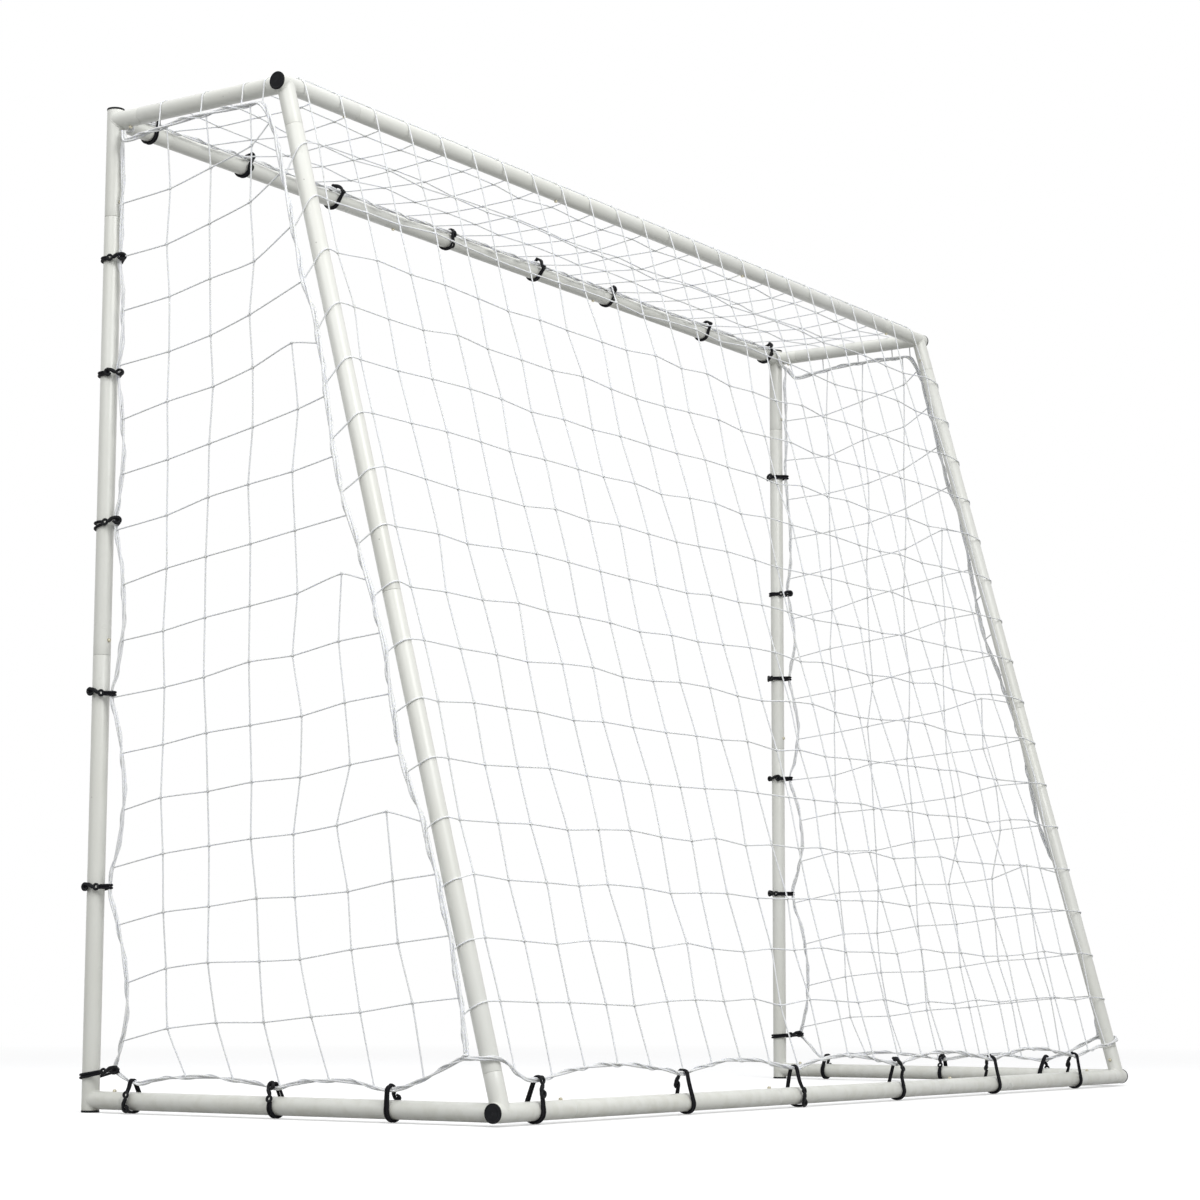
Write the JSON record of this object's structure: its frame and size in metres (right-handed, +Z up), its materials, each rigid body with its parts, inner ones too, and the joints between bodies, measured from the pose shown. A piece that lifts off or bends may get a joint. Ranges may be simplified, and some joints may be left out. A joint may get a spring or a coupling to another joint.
{
  "type": "football goal with net",
  "caption": "Free-standing steel tube football goal with shallow top, slanted rear stays, ground frame, plugged snap-button joints and a draped square-mesh net tied on.",
  "frame": {"origin": "floor level, under the middle of the goal", "axes": "+X along the crossbar, +Y from the mouth to the rear, +Z up"},
  "size_m": [2.492, 0.9438, 1.8484],
  "materials": {
    "cream_powder_coat": "semi-gloss powder coat",
    "black_plastic": "moulded",
    "zinc_spring_steel": "zinc plated",
    "netting_cord": "twisted cord"
  },
  "bodies": {
    "goal": {"front_top_corner_left": "cream_powder_coat", "upper_post_left": "cream_powder_coat", "lower_post_left": "cream_powder_coat", "rear_top_corner_left": "cream_powder_coat", "upper_stay_left": "cream_powder_coat", "lower_stay_left": "cream_powder_coat", "rear_ground_corner_left": "cream_powder_coat", "front_top_corner_right": "cream_powder_coat", "upper_post_right": "cream_powder_coat", "lower_post_right": "cream_powder_coat", "rear_top_corner_right": "cream_powder_coat", "upper_stay_right": "cream_powder_coat", "lower_stay_right": "cream_powder_coat", "rear_ground_corner_right": "cream_powder_coat", "crossbar_middle": "cream_powder_coat", "rear_top_left": "cream_powder_coat", "rear_top_middle": "cream_powder_coat", "rear_top_right": "cream_powder_coat", "rear_ground_left": "cream_powder_coat", "rear_ground_middle": "cream_powder_coat", "rear_ground_right": "cream_powder_coat", "cap_post_top_left": "black_plastic", "cap_foot_left": "black_plastic", "cap_rear_top_left": "black_plastic", "cap_rear_ground_left": "black_plastic", "cap_post_top_right": "black_plastic", "cap_foot_right": "black_plastic", "cap_rear_top_right": "black_plastic", "cap_rear_ground_right": "black_plastic", "net_top": "netting_cord", "net_rear": "netting_cord", "net_left": "netting_cord", "net_right": "netting_cord", "rope_rear_ground": "netting_cord"},
    "button_post_top_left": {"button_post_top_left": "zinc_spring_steel"},
    "button_post_middle_left": {"button_post_middle_left": "zinc_spring_steel"},
    "button_side_top_left": {"button_side_top_left": "zinc_spring_steel"},
    "button_side_ground_left": {"button_side_ground_left": "zinc_spring_steel"},
    "button_stay_top_left": {"button_stay_top_left": "zinc_spring_steel"},
    "button_stay_middle_left": {"button_stay_middle_left": "zinc_spring_steel"},
    "button_stay_foot_left": {"button_stay_foot_left": "zinc_spring_steel"},
    "button_crossbar_left": {"button_crossbar_left": "zinc_spring_steel"},
    "button_rear_top_end_left": {"button_rear_top_end_left": "zinc_spring_steel"},
    "button_rear_top_inner_left": {"button_rear_top_inner_left": "zinc_spring_steel"},
    "button_rear_ground_end_left": {"button_rear_ground_end_left": "zinc_spring_steel"},
    "button_rear_ground_inner_left": {"button_rear_ground_inner_left": "zinc_spring_steel"},
    "button_post_top_right": {"button_post_top_right": "zinc_spring_steel"},
    "button_post_middle_right": {"button_post_middle_right": "zinc_spring_steel"},
    "button_side_top_right": {"button_side_top_right": "zinc_spring_steel"},
    "button_side_ground_right": {"button_side_ground_right": "zinc_spring_steel"},
    "button_stay_top_right": {"button_stay_top_right": "zinc_spring_steel"},
    "button_stay_middle_right": {"button_stay_middle_right": "zinc_spring_steel"},
    "button_stay_foot_right": {"button_stay_foot_right": "zinc_spring_steel"},
    "button_crossbar_right": {"button_crossbar_right": "zinc_spring_steel"},
    "button_rear_top_end_right": {"button_rear_top_end_right": "zinc_spring_steel"},
    "button_rear_top_inner_right": {"button_rear_top_inner_right": "zinc_spring_steel"},
    "button_rear_ground_end_right": {"button_rear_ground_end_right": "zinc_spring_steel"},
    "button_rear_ground_inner_right": {"button_rear_ground_inner_right": "zinc_spring_steel"}
  },
  "joints": [
    {"name": "press_post_top_left", "type": "slide", "parent": "goal", "child": "button_post_top_left", "axis": [0, -1, 0], "range_m": [0, 0.0055], "stiffness_N_per_m": 800, "springref_m": -0.002},
    {"name": "press_post_middle_left", "type": "slide", "parent": "goal", "child": "button_post_middle_left", "axis": [0, -1, 0], "range_m": [0, 0.0055], "stiffness_N_per_m": 800, "springref_m": -0.002},
    {"name": "press_side_top_left", "type": "slide", "parent": "goal", "child": "button_side_top_left", "axis": [0, 0, 1], "range_m": [0, 0.0055], "stiffness_N_per_m": 800, "springref_m": -0.002},
    {"name": "press_side_ground_left", "type": "slide", "parent": "goal", "child": "button_side_ground_left", "axis": [0, 0, -1], "range_m": [0, 0.0055], "stiffness_N_per_m": 800, "springref_m": -0.002},
    {"name": "press_stay_top_left", "type": "slide", "parent": "goal", "child": "button_stay_top_left", "axis": [-1, 0, 0], "range_m": [0, 0.0055], "stiffness_N_per_m": 800, "springref_m": -0.002},
    {"name": "press_stay_middle_left", "type": "slide", "parent": "goal", "child": "button_stay_middle_left", "axis": [-1, 0, 0], "range_m": [0, 0.0055], "stiffness_N_per_m": 800, "springref_m": -0.002},
    {"name": "press_stay_foot_left", "type": "slide", "parent": "goal", "child": "button_stay_foot_left", "axis": [-1, 0, 0], "range_m": [0, 0.0055], "stiffness_N_per_m": 800, "springref_m": -0.002},
    {"name": "press_crossbar_left", "type": "slide", "parent": "goal", "child": "button_crossbar_left", "axis": [0, 0, 1], "range_m": [0, 0.0055], "stiffness_N_per_m": 800, "springref_m": -0.002},
    {"name": "press_rear_top_end_left", "type": "slide", "parent": "goal", "child": "button_rear_top_end_left", "axis": [0, 0, 1], "range_m": [0, 0.0055], "stiffness_N_per_m": 800, "springref_m": -0.002},
    {"name": "press_rear_top_inner_left", "type": "slide", "parent": "goal", "child": "button_rear_top_inner_left", "axis": [0, 0, 1], "range_m": [0, 0.0055], "stiffness_N_per_m": 800, "springref_m": -0.002},
    {"name": "press_rear_ground_end_left", "type": "slide", "parent": "goal", "child": "button_rear_ground_end_left", "axis": [0, 0, -1], "range_m": [0, 0.0055], "stiffness_N_per_m": 800, "springref_m": -0.002},
    {"name": "press_rear_ground_inner_left", "type": "slide", "parent": "goal", "child": "button_rear_ground_inner_left", "axis": [0, 0, -1], "range_m": [0, 0.0055], "stiffness_N_per_m": 800, "springref_m": -0.002},
    {"name": "press_post_top_right", "type": "slide", "parent": "goal", "child": "button_post_top_right", "axis": [0, -1, 0], "range_m": [0, 0.0055], "stiffness_N_per_m": 800, "springref_m": -0.002},
    {"name": "press_post_middle_right", "type": "slide", "parent": "goal", "child": "button_post_middle_right", "axis": [0, -1, 0], "range_m": [0, 0.0055], "stiffness_N_per_m": 800, "springref_m": -0.002},
    {"name": "press_side_top_right", "type": "slide", "parent": "goal", "child": "button_side_top_right", "axis": [0, 0, 1], "range_m": [0, 0.0055], "stiffness_N_per_m": 800, "springref_m": -0.002},
    {"name": "press_side_ground_right", "type": "slide", "parent": "goal", "child": "button_side_ground_right", "axis": [0, 0, -1], "range_m": [0, 0.0055], "stiffness_N_per_m": 800, "springref_m": -0.002},
    {"name": "press_stay_top_right", "type": "slide", "parent": "goal", "child": "button_stay_top_right", "axis": [1, 0, 0], "range_m": [0, 0.0055], "stiffness_N_per_m": 800, "springref_m": -0.002},
    {"name": "press_stay_middle_right", "type": "slide", "parent": "goal", "child": "button_stay_middle_right", "axis": [1, 0, 0], "range_m": [0, 0.0055], "stiffness_N_per_m": 800, "springref_m": -0.002},
    {"name": "press_stay_foot_right", "type": "slide", "parent": "goal", "child": "button_stay_foot_right", "axis": [1, 0, 0], "range_m": [0, 0.0055], "stiffness_N_per_m": 800, "springref_m": -0.002},
    {"name": "press_crossbar_right", "type": "slide", "parent": "goal", "child": "button_crossbar_right", "axis": [0, 0, 1], "range_m": [0, 0.0055], "stiffness_N_per_m": 800, "springref_m": -0.002},
    {"name": "press_rear_top_end_right", "type": "slide", "parent": "goal", "child": "button_rear_top_end_right", "axis": [0, 0, 1], "range_m": [0, 0.0055], "stiffness_N_per_m": 800, "springref_m": -0.002},
    {"name": "press_rear_top_inner_right", "type": "slide", "parent": "goal", "child": "button_rear_top_inner_right", "axis": [0, 0, 1], "range_m": [0, 0.0055], "stiffness_N_per_m": 800, "springref_m": -0.002},
    {"name": "press_rear_ground_end_right", "type": "slide", "parent": "goal", "child": "button_rear_ground_end_right", "axis": [0, 0, -1], "range_m": [0, 0.0055], "stiffness_N_per_m": 800, "springref_m": -0.002},
    {"name": "press_rear_ground_inner_right", "type": "slide", "parent": "goal", "child": "button_rear_ground_inner_right", "axis": [0, 0, -1], "range_m": [0, 0.0055], "stiffness_N_per_m": 800, "springref_m": -0.002}
  ]
}
